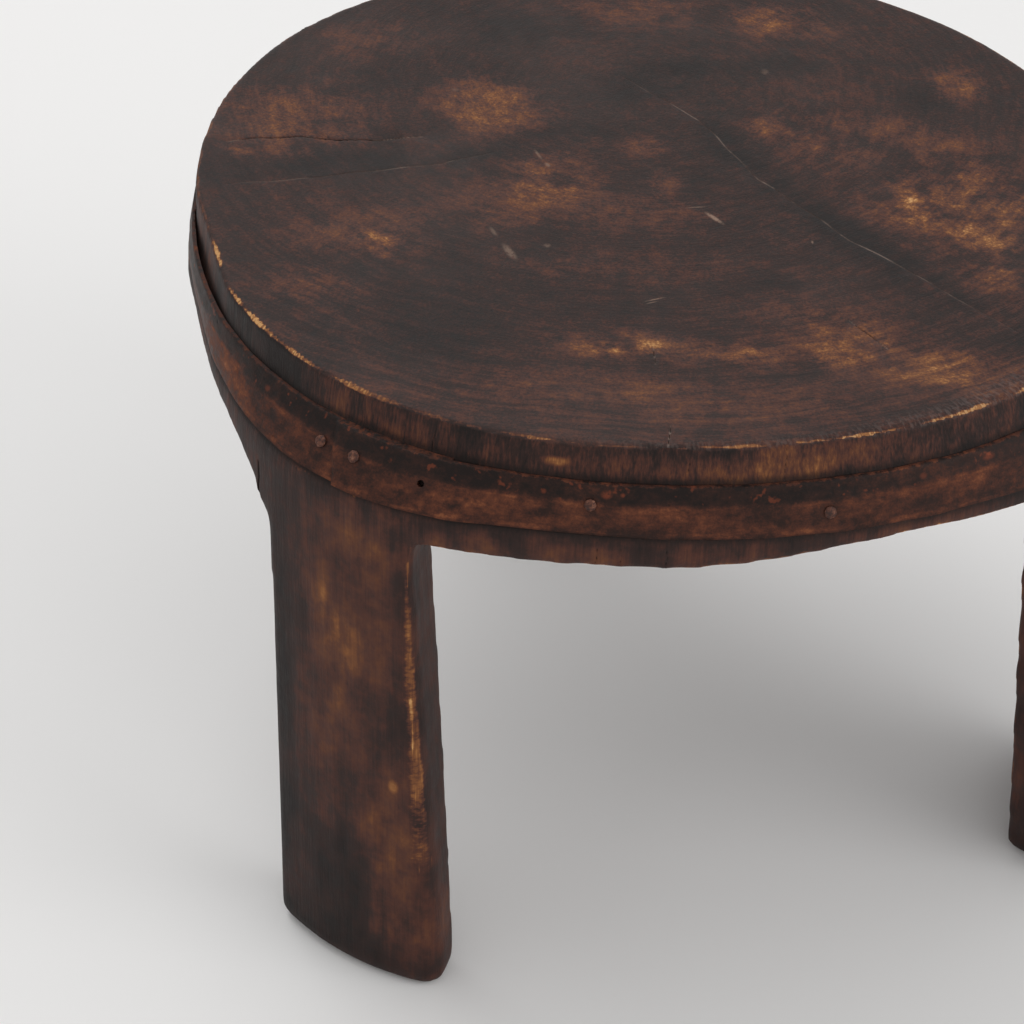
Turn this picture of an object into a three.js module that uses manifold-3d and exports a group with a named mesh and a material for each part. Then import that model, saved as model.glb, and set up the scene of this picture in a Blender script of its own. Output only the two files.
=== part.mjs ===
// A low stool carved from one log: a thick round seat on three slab legs, all in one piece of wood.
// A strip of sheet iron is bent round the seat's side, lapped over its own end and nailed on.
// Millimetres, +Z up, the feet stand on z = 0. Angles are in degrees, seen from above, from +X to +Y.

import * as THREE from 'three';
import { mergeVertices } from 'three/addons/utils/BufferGeometryUtils.js';
import Module from 'manifold-3d';

// Overall sizes of the wood.
const stoolHeight = 247;
const rimRadius = 170.5;
const seatThickness = 40.5;
const centreHollow = 5;

// The hewn outline: how far it swings in and out of a true round, and the flats the adze left.
const outlineWaves = [
  { lobes: 1, swing: 1.1, peak: 300 },
  { lobes: 2, swing: 1.1, peak: 333 },
  { lobes: 3, swing: 1.4, peak: 343 },
  { lobes: 4, swing: 2.4, peak: 324 },
];
const hewnFlats = [
  { facing: 195, depth: 4.5 },
  { facing: 75, depth: 4 },
];
const flatReach = 60;
const lowFlatShare = 0.8;

// The seat's side leans out from the rim down to a rounded ledge that carries the iron.
const rimWear = 1.2;
const upperLean = 1.4;
const creaseLean = 3.4;
const lowerLean = 5.6;
const ledgeProud = 0.7;
const ledgeRound = 2.4;

// The log wasn't quite upright: below the rim it drifts to one side.
const logDrift = 5.5;
const driftFacing = 320;

// The underside's edge hangs lower near the legs, which stand a little proud of the seat's side.
const underSwing = 3;
const underPeak = 250;
const underScoop = { facing: 295, depth: 4, reach: 22 };
const legSwell = 7.5;
const swellReach = 30;

// The three legs: where each leaves the seat, how far it leans round the circle on its way to the floor,
// how far its two sides sweep out into the seat above them, and how much thicker than usual it was left.
const legs = [
  { facing: 110, lean: 4, coveBefore: 22, coveAfter: 30, extraThickness: 0 },
  { facing: 233.8, lean: 6.5, coveBefore: 46, coveAfter: 3, extraThickness: 0.5 },
  { facing: 330.7, lean: 31.3, coveBefore: 3, coveAfter: 30, extraThickness: 5 },
];
const coveHeight = 26;
const legTopWidth = 57.3;
const legFlare = 13.5;
const legTopThickness = 34.5;
const legFootThickness = 22;
const thickReach = 60;
const sideSkewTop = 17;
const sideSkewFoot = 6;
const innerCove = 13;
const domeSquareness = 0.4;
const footRound = 4;
const arrisWearTop = 1.5;
const arrisWearFoot = 4.5;
const arrisWearEnd = 0.15;
const wornCoveSteps = 4;
const wedgeOverlap = 0.5;
const gapInnerShare = 0.5;
const gapOuterShare = 1.3;

// The iron strip.
const hoopTopDepth = 12.5;
const hoopWidth = 16.5;
const hoopCreaseDrop = 6;
const hoopThickness = 1.2;
const hoopEdgeBevel = 0.2;
const hoopGap = 0.3;
const hoopEnd = 232.7;
const hoopLap = 42;
const lapRamp = 14;
const hoopCorner = 3;
const hoopEndSlant = 7;

// The nails, their holes and where they stand.
const nailHeadRadius = 2.15;
const nailHeadRise = 1;
const nailShankRadius = 1;
const nailLength = 17;
const nailClearance = 0.3;
const nailDrop = 8.5;
const nailStray = 2;
const strayTurn = 130;
const lapNailInset = 11;
const endNailOutset = 2.7;
const emptyHoleInset = 34.5;
const firstNail = 262;
const nailPitch = 25.3;
const nailCount = 11;

// How finely round forms are stepped.
const turnSteps = 144;
const gapSteps = 36;
const shaftSteps = 8;
const coveSteps = 7;
const domeSteps = 10;
const nailSides = 8;

// What follows from those sizes.
const hoopBottomDepth = hoopTopDepth + hoopWidth;
const hoopCreaseDepth = hoopTopDepth + hoopCreaseDrop;
const ledgeDepth = hoopBottomDepth + ledgeRound;
const gapCeiling = stoolHeight - seatThickness;
const ledgeLean = lowerLean + hoopGap + hoopThickness + ledgeProud;
const legRadius = rimRadius + ledgeLean + legSwell;

const wasm = await Module();
wasm.setup();

// Small helpers.

const radians = THREE.MathUtils.degToRad;
const lerp = THREE.MathUtils.lerp;
const clamp = THREE.MathUtils.clamp;

function polar(radius, angle, height) {
  return new THREE.Vector3(radius * Math.cos(radians(angle)), radius * Math.sin(radians(angle)), height);
}

// The signed turn from one angle to another, between -180 and 180.
function turnBetween(from, to) {
  return THREE.MathUtils.euclideanModulo(to - from + 180, 360) - 180;
}

// The angle that a length along the rim spans.
function rimAngle(length) {
  return THREE.MathUtils.radToDeg(length / rimRadius);
}

// A value read from a list of [at, value] pairs in rising order, straight between them.
function interpolate(stations, at) {
  const above = stations.findIndex(([station]) => station >= at);
  if (above === -1) return stations[stations.length - 1][1];
  if (above === 0) return stations[0][1];
  const [low, lowValue] = stations[above - 1];
  const [high, highValue] = stations[above];
  return lerp(lowValue, highValue, (at - low) / (high - low));
}

// A closed skin through a stack of rings with the same number of points. Each end is closed by strips
// between its first and last points, its second and last but one, and so on.
function loft(rings) {
  const count = rings[0].length;
  const faces = [];
  for (let ring = 0; ring < rings.length - 1; ring += 1) {
    for (let i = 0; i < count; i += 1) {
      const a = ring * count + i;
      const b = ring * count + ((i + 1) % count);
      faces.push(a, b, b + count, a, b + count, a + count);
    }
  }
  const top = (rings.length - 1) * count;
  for (let i = 0; i < count / 2 - 1; i += 1) {
    const mate = count - 1 - i;
    faces.push(i, mate, mate - 1, i, mate - 1, i + 1);
    faces.push(top + i, top + i + 1, top + mate - 1, top + i, top + mate - 1, top + mate);
  }
  const geometry = new THREE.BufferGeometry().setFromPoints(rings.flat());
  geometry.setIndex(faces);
  return geometry;
}

function toSolid(geometry) {
  const bare = geometry.clone();
  bare.deleteAttribute('normal');
  bare.deleteAttribute('uv');
  const merged = mergeVertices(bare, 1e-5);
  return new wasm.Manifold(new wasm.Mesh({
    numProp: 3,
    vertProperties: new Float32Array(merged.attributes.position.array),
    triVerts: new Uint32Array(merged.index.array),
  }));
}

function toGeometry(solid) {
  const mesh = solid.getMesh();
  const geometry = new THREE.BufferGeometry();
  geometry.setAttribute('position', new THREE.BufferAttribute(new Float32Array(mesh.vertProperties), 3));
  geometry.setIndex(new THREE.BufferAttribute(new Uint32Array(mesh.triVerts), 1));
  geometry.computeVertexNormals();
  return geometry;
}

// The log's outer surface.

// The rim's radius before the adze's flats.
function outline(angle) {
  const swing = outlineWaves.reduce(
    (sum, wave) => sum + wave.swing * Math.cos(radians(wave.lobes * (angle - wave.peak))), 0);
  return rimRadius + swing;
}

function flattened(angle) {
  return hewnFlats.reduce((radius, flat) => {
    const turn = turnBetween(flat.facing, angle);
    if (Math.abs(turn) > flatReach) return radius;
    return Math.min(radius, (rimRadius - flat.depth) / Math.cos(radians(turn)));
  }, outline(angle));
}

// How far the side stands out from the rim's outline at each depth below the top.
const sideProfile = [
  [0, -rimWear],
  [rimWear * 0.3, -rimWear * 0.3],
  [rimWear, 0],
  [hoopTopDepth, upperLean],
  [hoopCreaseDepth, creaseLean],
  [hoopBottomDepth, lowerLean],
  [hoopBottomDepth + hoopGap, lowerLean + hoopGap + hoopThickness],
  [ledgeDepth, ledgeLean],
];

// A smooth hump round one bearing: 1 there, falling to 0 at its reach to either side.
function hump(facing, reach, angle) {
  return Math.cos(radians(90 * clamp(turnBetween(facing, angle) / reach, -1, 1))) ** 2;
}

// The swell that carries the legs: nothing at the hoop's top edge, full from its lower edge down.
function swell(angle, depth) {
  const fade = clamp((depth - hoopTopDepth) / (hoopBottomDepth - hoopTopDepth), 0, 1);
  return legSwell * fade * Math.max(...legs.map((leg) => hump(leg.facing, swellReach, angle)));
}

function drift(angle, depth) {
  return logDrift * clamp(depth / hoopBottomDepth, 0, 1) * Math.cos(radians(angle - driftFacing));
}

function flatCut(angle) {
  return outline(angle) - flattened(angle);
}

// The radius that the hoop is bent to: it bridges the flats at its upper edge and is beaten down into
// what is left of them at its lower one.
function roundRadius(angle, depth) {
  const low = clamp((depth - hoopCreaseDepth) / (hoopBottomDepth - hoopCreaseDepth), 0, 1);
  const side = interpolate(sideProfile, depth) + swell(angle, depth) + drift(angle, depth);
  return outline(angle) + side - low * lowFlatShare * flatCut(angle);
}

function skinRadius(angle, depth) {
  const upperShare = Math.sqrt(clamp(1 - depth / hoopCreaseDepth, 0, 1));
  return roundRadius(angle, depth) - upperShare * flatCut(angle);
}

// The wood.

// How far the underside hangs below its mean level: its edge is hewn lower near the legs and scooped
// higher at one place, and both die out towards the centre.
function underSag(angle, radius) {
  const swing = underSwing * Math.cos(radians(legs.length * (angle - underPeak)));
  const scoop = underScoop.depth * hump(underScoop.facing, underScoop.reach, angle);
  return (swing - scoop) * clamp(radius / rimRadius, 0, 1);
}

function sagged(point) {
  const radius = Math.hypot(point.x, point.y);
  const angle = THREE.MathUtils.radToDeg(Math.atan2(point.y, point.x));
  point.z -= (underSag(angle, radius) * Math.max(point.z, 0)) / gapCeiling;
  return point;
}

// The heights at which the wood below the seat is shaped: the feet's worn edges, then the legs' shafts.
const footLevels = [0, 0.1, 0.3, 0.6, 1].map((share) => share * footRound);
const shaftTop = gapCeiling - coveHeight;
const shaftLevels = Array.from({ length: shaftSteps }, (_, i) => (shaftTop * (i + 1)) / shaftSteps);
const legLevels = [...footLevels, ...shaftLevels];
const coveLevels = Array.from({ length: coveSteps }, (_, i) => (
  shaftTop + coveHeight * Math.sin(radians((90 * (i + 1)) / coveSteps))));

function logSolid() {
  const sideDepths = [hoopTopDepth / 2, (hoopCreaseDepth + hoopBottomDepth) / 2, seatThickness];
  const heights = [...sideProfile.map(([depth]) => depth), ...sideDepths].map((d) => stoolHeight - d);
  heights.push(...footLevels, shaftTop / 2);
  heights.sort((a, b) => a - b);
  const rings = heights.map((height) => Array.from({ length: turnSteps }, (_, i) => {
    const angle = (i * 360) / turnSteps;
    return polar(skinRadius(angle, stoolHeight - height) - footWear(height), angle, height);
  }));
  return toSolid(loft(rings));
}

// How far the foot's worn edges draw in at a height above the floor.
function footWear(height) {
  const rise = clamp(height / footRound, 0, 1);
  return footRound * (1 - Math.sqrt(1 - (1 - rise) ** 2));
}

// The share of the way up the gaps, from the floor.
function climbTo(height) {
  return clamp(height / gapCeiling, 0, 1);
}

// Half a leg's width at a height, measured along the rim.
function legHalf(cove, height) {
  return (legTopWidth + legFlare * (1 - climbTo(height))) / 2 + coveSweep(cove, height) - footWear(height);
}

// How far a leg has leant round the circle at a height, along the rim.
function legLean(leg, height) {
  return leg.lean * (1 - climbTo(height));
}

// How far a leg's side has closed in at a radius: its sides turn inwards more than the radius does.
function sideSkew(radius, height) {
  const skew = radians(lerp(sideSkewFoot, sideSkewTop, climbTo(height)));
  const closest = legRadius * Math.sin(skew);
  return THREE.MathUtils.radToDeg(Math.asin(closest / radius) - skew);
}

// How far a cove has swept out from a leg's side at a height, as a quarter of an ellipse.
function coveSweep(width, height) {
  const climb = clamp((height - shaftTop) / coveHeight, 0, 1);
  return width * (1 - Math.sqrt(1 - climb * climb));
}

// The bearing of a leg's side at a radius and a height: hand is 1 for the side after it and -1 for the
// one before.
function sideAngle(leg, hand, radius, height) {
  const cove = hand > 0 ? leg.coveAfter : leg.coveBefore;
  const reach = rimAngle(legLean(leg, height) + hand * legHalf(cove, height));
  return leg.facing + reach - hand * sideSkew(radius, height);
}

// The waste between one leg and the next, cut clean through the log's side.
function gapSolid(leg, next) {
  const rings = [-footRound, ...legLevels, ...coveLevels].map((height) => {
    const arc = (radius) => {
      const start = sideAngle(leg, 1, radius, height);
      const span = THREE.MathUtils.euclideanModulo(sideAngle(next, -1, radius, height) - start, 360);
      return Array.from({ length: gapSteps + 1 }, (_, i) => (
        sagged(polar(radius, start + (span * i) / gapSteps, height))));
    };
    return [...arc(rimRadius * gapOuterShare), ...arc(rimRadius * gapInnerShare).reverse()];
  });
  return toSolid(loft(rings));
}

// What use has rubbed off a leg's outer arris: a wedge along it, wide at the foot and gone inside the cove.
function arrisSolid(leg, hand) {
  const corner = (height, inward) => {
    const depth = stoolHeight - height;
    let radius = skinRadius(leg.facing, depth);
    radius = skinRadius(sideAngle(leg, hand, radius, height), depth);
    return polar(radius - inward, sideAngle(leg, hand, radius - inward, height), height);
  };
  const wornLevels = [-footRound, ...legLevels, ...coveLevels.slice(0, wornCoveSteps)];
  const wornTop = wornLevels[wornLevels.length - 1];
  const rings = wornLevels.map((height) => {
    const fade = clamp((height - shaftTop) / (wornTop - shaftTop), 0, 1);
    const wear = lerp(lerp(arrisWearFoot, arrisWearTop, climbTo(height)), arrisWearEnd, fade);
    const tip = corner(height, 0);
    const alongSide = corner(height, wear).sub(tip).setLength(wear);
    const alongSkin = new THREE.Vector3(hand * tip.y, -hand * tip.x, 0).setLength(wear);
    const slope = alongSide.clone().sub(alongSkin);
    const wedge = [
      tip.clone().add(alongSkin).addScaledVector(slope, -wedgeOverlap),
      tip.clone().sub(alongSide),
      tip.clone().sub(alongSkin),
      tip.clone().add(alongSide).addScaledVector(slope, wedgeOverlap),
    ];
    return hand > 0 ? wedge : wedge.reverse();
  });
  return toSolid(loft(rings));
}

// How thick the wall of legs is at a bearing and a height.
function wallThickness(angle, height) {
  const extra = legs.reduce((sum, leg) => (
    sum + leg.extraThickness * hump(leg.facing, thickReach, angle)), 0);
  return extra + lerp(legFootThickness, legTopThickness, climbTo(height));
}

// The hollow inside the ring of legs, with a low and square-shouldered dome under the seat.
function hollowSolid() {
  const springing = gapCeiling - innerCove;
  const domeRise = innerCove + centreHollow;
  const stations = [-footRound, ...legLevels].map((height) => [height, 1]);
  for (let i = 0; i < domeSteps; i += 1) {
    const climb = radians((90 * i) / domeSteps);
    stations.push([springing + domeRise * Math.sin(climb), Math.cos(climb) ** domeSquareness]);
  }
  const rings = stations.map(([height, share]) => Array.from({ length: turnSteps }, (_, i) => {
    const angle = (i * 360) / turnSteps;
    const skin = outline(angle) + ledgeLean + legSwell + drift(angle, stoolHeight - height);
    const radius = skin - wallThickness(angle, height) + footWear(height);
    return sagged(polar(radius * share, angle, height));
  }));
  return toSolid(loft(rings));
}

// The iron strip, bent round the seat. It is measured along its length in degrees from its outer end.

const lapAngle = rimAngle(hoopLap);

// In the lap the outer end rides over the inner one, and then steps down to the wood.
function lapLift(along) {
  const down = clamp((along - lapAngle) / rimAngle(lapRamp), 0, 1);
  return (hoopThickness + hoopGap) * (1 - down);
}

// A radius on the strip's inner face.
function hoopInner(along, depth) {
  return roundRadius(hoopEnd + along, depth) + hoopGap + lapLift(along);
}

function hoopSection(along) {
  const corner = along === 0 ? hoopCorner : 0;
  const slant = along === 0 ? rimAngle(hoopEndSlant) / hoopWidth : 0;
  const depths = [hoopTopDepth, hoopCreaseDepth, (hoopCreaseDepth + hoopBottomDepth) / 2];
  depths.push(hoopBottomDepth - hoopGap - corner);
  const face = (offset) => depths.map((depth) => {
    const radius = hoopInner(along, depth) + offset;
    return polar(radius, hoopEnd + along + slant * (depth - hoopTopDepth), stoolHeight - depth);
  });
  const outer = face(hoopThickness);
  outer[0].z -= hoopEdgeBevel;
  return [...outer, ...face(0).reverse()];
}

// The strip is bent at the same bearings as the wood is stepped, so that the gap between them stays even.
function hoopSolid() {
  const total = 360 + lapAngle;
  const step = 360 / turnSteps;
  const stations = [0];
  for (let along = Math.ceil(hoopEnd / step) * step - hoopEnd; along < total - step / 4; along += step) {
    stations.push(along);
  }
  stations.push(total);
  return toSolid(loft(stations.map(hoopSection)));
}

// The nails.

// Where a nail's head rests on the strip, and the direction in which it was driven.
function nailSeat(along, stray = 0) {
  const depth = hoopTopDepth + nailDrop + stray;
  const step = 0.5;
  const at = (turn, drop) => {
    const radius = hoopInner(along + turn, depth + drop) + hoopThickness;
    return polar(radius, hoopEnd + along + turn, stoolHeight - depth - drop);
  };
  const across = at(step, 0).sub(at(-step, 0));
  const upward = at(0, -step).sub(at(0, step));
  const outward = across.cross(upward).normalize();
  return { point: at(0, 0), outward };
}

function placeOnSeat(object, seat) {
  object.position.copy(seat.point);
  object.quaternion.setFromUnitVectors(new THREE.Vector3(0, 0, 1), seat.outward);
  return object;
}

// A hand-forged nail: a low faceted head and a shank that tapers to a point, along its own +Z.
function nailGeometry() {
  const under = nailClearance;
  const profile = [
    new THREE.Vector2(0, -nailLength),
    new THREE.Vector2(nailShankRadius * 0.6, -nailLength * 0.75),
    new THREE.Vector2(nailShankRadius, -nailLength * 0.4),
    new THREE.Vector2(nailShankRadius, under),
    new THREE.Vector2(nailHeadRadius * 0.95, under),
    new THREE.Vector2(nailHeadRadius, under + nailHeadRise * 0.35),
    new THREE.Vector2(nailHeadRadius * 0.7, under + nailHeadRise * 0.8),
    new THREE.Vector2(0, under + nailHeadRise),
  ];
  return toGeometry(toSolid(new THREE.LatheGeometry(profile, nailSides).rotateX(Math.PI / 2)));
}

function nailHole(seat) {
  const radius = nailShankRadius + nailClearance;
  const above = 3;
  const depth = nailLength + nailClearance;
  const drill = new THREE.CylinderGeometry(radius, radius, depth + above, nailSides);
  drill.rotateX(Math.PI / 2);
  drill.translate(0, 0, (above - depth) / 2);
  const placed = placeOnSeat(new THREE.Object3D(), seat);
  placed.updateMatrix();
  return toSolid(drill.applyMatrix4(placed.matrix));
}

// Two nails hold the lap and the rest stand round the seat, each driven a little high or low.
const nailSeats = [
  nailSeat(360 - rimAngle(endNailOutset), -nailStray / 2),
  nailSeat(rimAngle(lapNailInset), -nailStray),
];
for (let i = 0; i < nailCount; i += 1) {
  const stray = -nailStray * Math.cos(radians(strayTurn * i));
  nailSeats.push(nailSeat(firstNail - hoopEnd + nailPitch * i, stray));
}

// One nail has been lost: its hole through both ends of the strip and into the wood stays empty.
const emptySeat = nailSeat(rimAngle(emptyHoleInset), -nailStray / 2);
const holes = [...nailSeats, emptySeat].map(nailHole);

// The pieces.

const woodStain = new THREE.MeshStandardMaterial({ color: 0x3b261c, roughness: 0.55, metalness: 0 });
const rustyIron = new THREE.MeshStandardMaterial({ color: 0x3a2a26, roughness: 0.6, metalness: 0.7 });
const nailIron = new THREE.MeshStandardMaterial({ color: 0x584842, roughness: 0.6, metalness: 0.7 });

function named(geometry, material, name) {
  const mesh = new THREE.Mesh(geometry, material.clone());
  mesh.name = name;
  return mesh;
}

function carvedBody() {
  let wood = logSolid().subtract(hollowSolid());
  legs.forEach((leg, i) => {
    wood = wood.subtract(gapSolid(leg, legs[(i + 1) % legs.length]));
  });
  legs.forEach((leg) => {
    wood = wood.subtract(arrisSolid(leg, 1)).subtract(arrisSolid(leg, -1));
  });
  holes.forEach((hole) => {
    wood = wood.subtract(hole);
  });
  return named(toGeometry(wood), woodStain, 'carved_body');
}

function ironHoop() {
  let strip = hoopSolid();
  holes.forEach((hole) => {
    strip = strip.subtract(hole);
  });
  return named(toGeometry(strip), rustyIron, 'iron_hoop');
}

function nails() {
  return nailSeats.map((seat, i) => {
    const name = `nail_${String(i + 1).padStart(2, '0')}`;
    return placeOnSeat(named(nailGeometry(), nailIron, name), seat);
  });
}

const stool = new THREE.Group();
stool.add(carvedBody(), ironHoop(), ...nails());

// The origin is on the floor, under the middle of the stool's box.
const middle = new THREE.Box3().setFromObject(stool, true).getCenter(new THREE.Vector3());
stool.position.set(-middle.x, -middle.y, 0);

export default stool;
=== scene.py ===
# %% [markdown]
# # A stool carved from one log
# The stool is a short piece of tree trunk. Its top is end grain, its three slab legs are what is left of
# the log's own side, and a strip of sheet iron is nailed round the seat to keep the drying wood together.
# The frame below holds the wood, the strip and the nails at their true size. This script adds what the
# hand, the weather and a few decades of sitting did to them.

# %% The frame
import math

import bmesh
import bpy
import numpy as np
from mathutils import Matrix, Vector, noise


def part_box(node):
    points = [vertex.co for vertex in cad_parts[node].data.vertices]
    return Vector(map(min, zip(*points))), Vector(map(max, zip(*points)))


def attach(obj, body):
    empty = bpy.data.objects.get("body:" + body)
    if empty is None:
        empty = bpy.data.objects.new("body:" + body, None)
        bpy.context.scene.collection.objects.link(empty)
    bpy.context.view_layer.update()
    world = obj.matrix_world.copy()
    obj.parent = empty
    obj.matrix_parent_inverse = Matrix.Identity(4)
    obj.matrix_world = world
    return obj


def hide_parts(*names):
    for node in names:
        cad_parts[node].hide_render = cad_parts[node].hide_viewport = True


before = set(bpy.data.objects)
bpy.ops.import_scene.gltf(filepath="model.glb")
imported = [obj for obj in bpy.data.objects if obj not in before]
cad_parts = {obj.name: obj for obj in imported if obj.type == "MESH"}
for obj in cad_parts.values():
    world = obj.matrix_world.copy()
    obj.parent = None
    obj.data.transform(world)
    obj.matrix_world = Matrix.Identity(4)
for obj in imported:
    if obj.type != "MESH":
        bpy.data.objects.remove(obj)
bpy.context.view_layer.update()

millimetre = 0.001
wood_low, wood_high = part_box("carved_body")
hoop_low, hoop_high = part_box("iron_hoop")
seat_height = wood_high.z
print("the stool is", round(seat_height / millimetre), "mm high")

# %% [markdown]
# ## The camera
# A camera can be set by eye, but from a wrong place a stool never matches its picture. The seat's rim is
# nearly round, so the ellipse that it makes in a picture tells where the camera stood: how steeply it
# looked down, how far off it was and how much it was rolled. Those three values and the place of the
# seat's middle in the picture are enough to set it up.

# %% The camera
picture_size = 1024
focal_length = 3000
middle_pixel = (660.1, 175.5)
look_down = math.radians(37.18)
camera_roll = math.radians(1.95)
camera_depth = 1.0862
log_axis = Vector((-0.00666, 0.00206, 0))

turn = Matrix.Rotation(math.pi / 2 - look_down, 3, "X") @ Matrix.Rotation(camera_roll, 3, "Z")
across = (middle_pixel[0] - picture_size / 2) / focal_length * camera_depth
upward = (picture_size / 2 - middle_pixel[1]) / focal_length * camera_depth
lens = bpy.data.cameras.new("camera")
lens.sensor_width = 36
lens.lens = focal_length / picture_size * lens.sensor_width
camera = bpy.data.objects.new("camera", lens)
place = log_axis + Vector((0, 0, seat_height)) - turn @ Vector((across, upward, -camera_depth))
camera.matrix_world = Matrix.Translation(place) @ turn.to_4x4()
bpy.context.scene.collection.objects.link(camera)
bpy.context.scene.camera = camera
print("camera at", [round(v, 3) for v in place])

# %% [markdown]
# ## Mesh helpers
# Each visible piece could be modelled from nothing, but it would have to be fitted to its place. Here it
# starts from a copy of its solid in the frame, so it can't end up anywhere else. The copy is merged first,
# because the frame's faces are loose, and it is cut finer before any of its points are moved.

# %% Helpers for meshes
same_place = 0.002 * millimetre


def merged_copy(node, name):
    """A piece with the node's shape, whose loose faces are joined at their shared points."""
    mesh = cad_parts[node].data.copy()
    mesh.name = name
    mesh.materials.clear()
    shape = bmesh.new()
    shape.from_mesh(mesh)
    bmesh.ops.remove_doubles(shape, verts=shape.verts, dist=same_place)
    shape.to_mesh(mesh)
    shape.free()
    piece = bpy.data.objects.new(name, mesh)
    bpy.context.scene.collection.objects.link(piece)
    return piece


def apply_modifiers(piece):
    """Bakes the piece's modifiers into its mesh."""
    graph = bpy.context.evaluated_depsgraph_get()
    finished = bpy.data.meshes.new_from_object(piece.evaluated_get(graph))
    piece.modifiers.clear()
    piece.data = finished


def triangles(piece):
    """How many triangles the piece has."""
    piece.data.calc_loop_triangles()
    return len(piece.data.loop_triangles)


def told(piece):
    """Prints how many triangles the piece has."""
    print(piece.name, "has", triangles(piece), "triangles")


# %% [markdown]
# ## The wood's skin
# A carver's adze leaves shallow facets, use rounds the arrises, and drying opens checks that run from the
# pith to the bark. A bump in the material could hint at all three, but they show in the outline too, so
# they are made in the mesh. A voxel remesh turns the solid into small even quads that can take such
# shapes. A collapse at the end gives back the points that flat places don't need.

# %% Small even quads
voxel = 1.4 * millimetre
wood = merged_copy("carved_body", "carved_wood")
skin = wood.modifiers.new("skin", "REMESH")
skin.mode = "VOXEL"
skin.voxel_size = voxel
apply_modifiers(wood)
told(wood)

# %% [markdown]
# ## Where the checks run
# A check is a crack that opens as the log dries. It follows the rays, so on the top it points at the pith,
# and on the side it runs up and down with the grain. It could be cut out with a thin wedge and a Boolean,
# but that leaves edges that are straight and even. Here points are pushed in beside a path, which lets a
# check sway, taper and run out. Each row below is a path in millimetres, half its width and its depth.

# %% The checks
top_checks = [
    ([(-20.8, 75.7), (8.8, 43.3), (29.3, 1.3), (42.8, -15.2), (59.2, -37.6), (75.5, -52.9), (94.3, -74.0),
      (113.8, -94.3)], 0.45, 0.4),
    ([(-163.1, -14.2), (-139.5, -9.6), (-119.0, -3.6), (-103.3, 0.6), (-86.2, 5.1), (-65.0, 16.3)], 0.5, 0.3),
    ([(-166.0, 16.0), (-154.6, 19.0), (-139.7, 21.1), (-123.1, 19.7), (-109.2, 20.6), (-92.8, 24.2)],
     0.45, 1.3),
    ([(-10.7, -107.8), (-10.9, -119.6)], 0.28, 1.0),
    ([(-6.6, -153.5), (-6.9, -165.5)], 0.28, 1.0),
    ([(55.6, -88.7), (67.8, -106.1)], 0.28, 1.0),
]
# Each one on the side: its bearing from the log's axis in degrees, its lowest and highest points, its
# half width and its depth.
side_checks = [
    (223.2, 158, 206, 0.45, 1.8),
    (244.2, 228, 245, 0.2, 0.25),
    (262.9, 206, 215, 0.2, 0.3),
    (265.4, 206, 215, 0.2, 0.25),
    (270.1, 206, 216, 0.2, 0.35),
    (272.1, 234, 246, 0.2, 0.25),
    (282.7, 234, 247, 0.2, 0.25),
    (31.0, 190, 234, 0.4, 1.6),
    (96.0, 120, 205, 0.45, 1.8),
    (143.0, 205, 247, 0.3, 1.0),
    (332.0, 150, 212, 0.45, 1.8),
    (12.0, 234, 247, 0.25, 0.8),
    (176.0, 206, 247, 0.25, 0.8),
]
print(len(top_checks), "checks on the top and", len(side_checks), "on the side")

# %% [markdown]
# ## How deep a check cuts
# A real check is deepest in its middle, runs out at both ends and never goes quite straight. So the depth
# at a point falls off with its distance from the path and towards the path's ends, and small waves make
# the path sway. Numpy works this out for all points at once, which a loop would be far too slow for.

# %% How deep a check cuts


def path_distance(rows, path):
    """How far each point is from a path on the top, and how far along the path, from 0 to 1."""
    corners = np.array(path) * millimetre
    lengths = np.linalg.norm(np.diff(corners, axis=0), axis=1)
    starts = np.concatenate([[0], np.cumsum(lengths)])
    nearest = np.full(len(rows), np.inf)
    along = np.zeros(len(rows))
    for start, end, length, before in zip(corners, corners[1:], lengths, starts):
        share = np.clip((rows[:, :2] - start) @ (end - start) / length ** 2, 0, 1)
        far = np.linalg.norm(rows[:, :2] - start - share[:, None] * (end - start), axis=1)
        closer = far < nearest
        nearest[closer] = far[closer]
        along[closer] = ((before + share * length) / starts[-1])[closer]
    return nearest, along


top_skin = 1.5 * millimetre
hollow_radius = 160 * millimetre


def wave(values, length, height):
    """A wave whose length and height are in millimetres."""
    return height * millimetre * np.sin(values / (length * millimetre))


def check_depths(rows, reach=0):
    """How deep the checks cut at each point. With a reach, 1 for the points that are close to a check."""
    depths = np.zeros(len(rows))
    about = rows[:, :2] - np.array(log_axis.to_2d())
    bearing = np.arctan2(about[:, 1], about[:, 0])
    radius = np.linalg.norm(about, axis=1)
    sway = wave(rows[:, 2], 5, 0.4) + wave(rows[:, 2], 1.7, 0.25)
    on_top = rows[:, 2] > seat_height - top_skin
    wavy = rows + wave(rows[:, [1, 0, 2]], 3, 0.3)
    for path, half, depth in top_checks:
        far, along = path_distance(wavy, path)
        taper = np.sqrt(np.clip(4 * along * (1 - along), 0, 1))
        cut = on_top * (depth * taper * np.clip(1 - far / (half * millimetre), 0, 1))
        depths = np.maximum(depths, (far < reach) & on_top if reach else cut)
    for facing, low, high, half, depth in side_checks:
        off = np.angle(np.exp(1j * (bearing - math.radians(facing))))
        far = np.abs(off * radius + sway)
        along = (rows[:, 2] / millimetre - low) / (high - low)
        taper = np.sqrt(np.clip(4 * along * (1 - along), 0, 1))
        near_skin = (radius > hollow_radius) & (along > 0) & (along < 1)
        cut = near_skin * (depth * taper * np.clip(1 - far / (half * millimetre), 0, 1))
        depths = np.maximum(depths, (far < reach) & near_skin if reach else cut)
    return depths


# %% [markdown]
# ## Finer quads along the checks
# The quads are too coarse for a crack half a millimetre wide, and a finer remesh of the whole stool would
# cost millions of them. So only the edges near the paths are cut in two, twice, before any point moves.

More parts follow.
